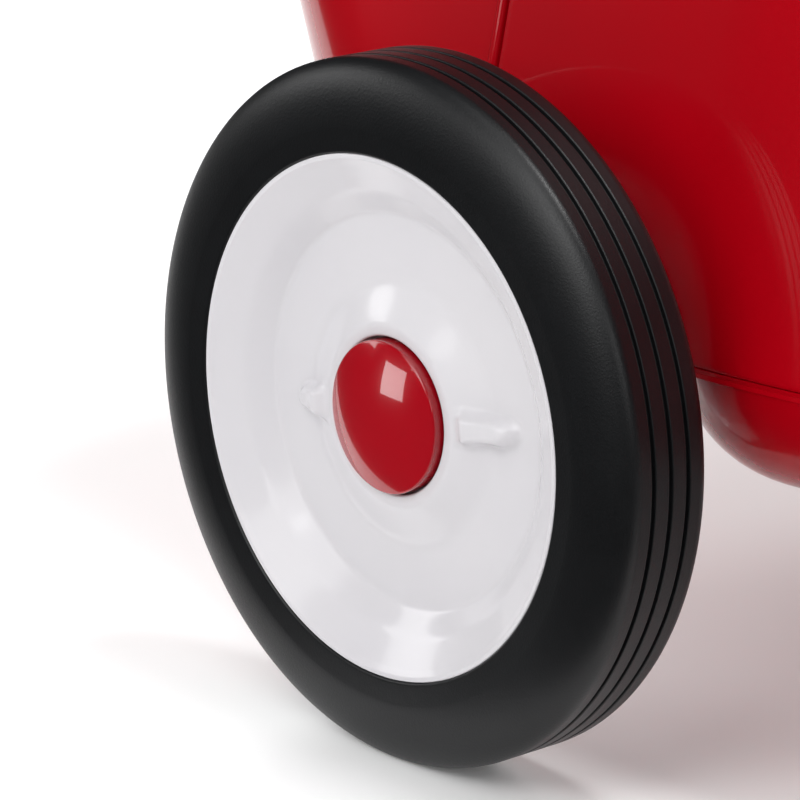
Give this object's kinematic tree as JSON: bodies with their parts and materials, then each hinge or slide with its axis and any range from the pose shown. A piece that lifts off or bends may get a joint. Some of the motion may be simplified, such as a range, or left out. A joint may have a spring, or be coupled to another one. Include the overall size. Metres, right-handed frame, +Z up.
{
  "type": "kids pull wagon",
  "caption": "Child's pressed-steel pull wagon with a streamlined deep tub, footwell, outboard disc wheels, linked front steering and a hinged loop-handled tongue.",
  "frame": {"origin": "on the floor, under the middle of the overall length and width with the tongue up at rest", "axes": "+Z up, +X towards the tongue at the front, +Y to the wagon's left"},
  "size_m": [0.9552, 0.5072, 0.9016],
  "materials": {
    "red_enamel": "high-gloss red baked enamel on pressed steel",
    "black_enamel": "satin black enamel on steel",
    "white_enamel": "gloss white baked enamel on pressed steel",
    "zinc_steel": "bright zinc-plated steel",
    "red_cap": "glossy red domed cap",
    "tyre": "semi-pneumatic rubber, fine matt grain",
    "nylon": "moulded natural nylon bushing",
    "black_grip": "moulded black vinyl sleeve"
  },
  "bodies": {
    "wagon": {"tub_tail": "red_enamel", "tub_nose": "red_enamel", "tub_side_right": "red_enamel", "tub_side_left": "red_enamel", "top_rim": "red_enamel", "footwell": "red_enamel", "rear_deck": "red_enamel", "front_deck": "red_enamel", "rear_bracket": "black_enamel", "rear_axle": "zinc_steel", "rear_spacers": "zinc_steel", "rear_axle_ends": "zinc_steel", "bracket_bolts": "zinc_steel", "bracket_nuts": "zinc_steel", "front_beam": "black_enamel", "beam_risers": "black_enamel", "beam_bolts": "zinc_steel", "beam_nuts": "zinc_steel", "king_bolt": "zinc_steel"},
    "right_knuckle": {"knuckle_right": "black_enamel", "king_pin_right": "zinc_steel", "stub_axle_end_right": "zinc_steel", "tie_rivet_right": "zinc_steel"},
    "left_knuckle": {"knuckle_left": "black_enamel", "king_pin_left": "zinc_steel", "stub_axle_end_left": "zinc_steel", "tie_rivet_left": "zinc_steel"},
    "steering_bar": {"tongue_bar": "black_enamel", "tie_rivet_middle": "zinc_steel", "clevis_pin": "zinc_steel"},
    "tie_rod": {"tie_rod": "black_enamel"},
    "tongue": {"tongue": "black_enamel", "loop_collar": "black_enamel", "handle_loop": "black_enamel", "grip": "black_grip"},
    "rear_right_wheel": {"rear_right_tyre": "tyre", "rear_right_disc": "white_enamel", "rear_right_back_disc": "white_enamel", "rear_right_hub": "zinc_steel", "rear_right_bushings": "nylon", "rear_right_hub_cap": "red_cap"},
    "rear_left_wheel": {"rear_left_tyre": "tyre", "rear_left_disc": "white_enamel", "rear_left_back_disc": "white_enamel", "rear_left_hub": "zinc_steel", "rear_left_bushings": "nylon", "rear_left_hub_cap": "red_cap"},
    "front_right_wheel": {"front_right_tyre": "tyre", "front_right_disc": "white_enamel", "front_right_back_disc": "white_enamel", "front_right_hub": "zinc_steel", "front_right_bushings": "nylon", "front_right_hub_cap": "red_cap"},
    "front_left_wheel": {"front_left_tyre": "tyre", "front_left_disc": "white_enamel", "front_left_back_disc": "white_enamel", "front_left_hub": "zinc_steel", "front_left_bushings": "nylon", "front_left_hub_cap": "red_cap"}
  },
  "joints": [
    {"name": "steer", "type": "hinge", "parent": "wagon", "child": "steering_bar", "pos_m": [0.22618, 0, 0.1195], "axis": [0, 0, 1], "range_deg": [-20, 20]},
    {"name": "right_knuckle_turn", "type": "hinge", "parent": "wagon", "child": "right_knuckle", "pos_m": [0.22618, -0.18, 0.127], "axis": [0, 0, 1], "range_deg": [-20, 20]},
    {"name": "left_knuckle_turn", "type": "hinge", "parent": "wagon", "child": "left_knuckle", "pos_m": [0.22618, 0.18, 0.127], "axis": [0, 0, 1], "range_deg": [-20, 20]},
    {"name": "tie_rod_swing", "type": "hinge", "parent": "steering_bar", "child": "tie_rod", "pos_m": [0.18018, 0, 0.11925], "axis": [0, 0, 1], "range_deg": [-20, 20]},
    {"name": "tongue_lift", "type": "hinge", "parent": "steering_bar", "child": "tongue", "pos_m": [0.46457, 0, 0.128], "axis": [0, 1, 0], "range_deg": [0, 101]},
    {"name": "rear_right_spin", "type": "hinge", "parent": "wagon", "child": "rear_right_wheel", "pos_m": [-0.22382, -0.2305, 0.127], "axis": [0, 1, 0], "continuous": true},
    {"name": "rear_left_spin", "type": "hinge", "parent": "wagon", "child": "rear_left_wheel", "pos_m": [-0.22382, 0.2305, 0.127], "axis": [0, 1, 0], "continuous": true},
    {"name": "front_right_spin", "type": "hinge", "parent": "right_knuckle", "child": "front_right_wheel", "pos_m": [0.22618, -0.2305, 0.127], "axis": [0, 1, 0], "continuous": true},
    {"name": "front_left_spin", "type": "hinge", "parent": "left_knuckle", "child": "front_left_wheel", "pos_m": [0.22618, 0.2305, 0.127], "axis": [0, 1, 0], "continuous": true}
  ],
  "couplings": [
    {"joint": "right_knuckle_turn", "follows": "steer", "ratio": 1},
    {"joint": "left_knuckle_turn", "follows": "steer", "ratio": 1},
    {"joint": "tie_rod_swing", "follows": "steer", "ratio": -1}
  ]
}
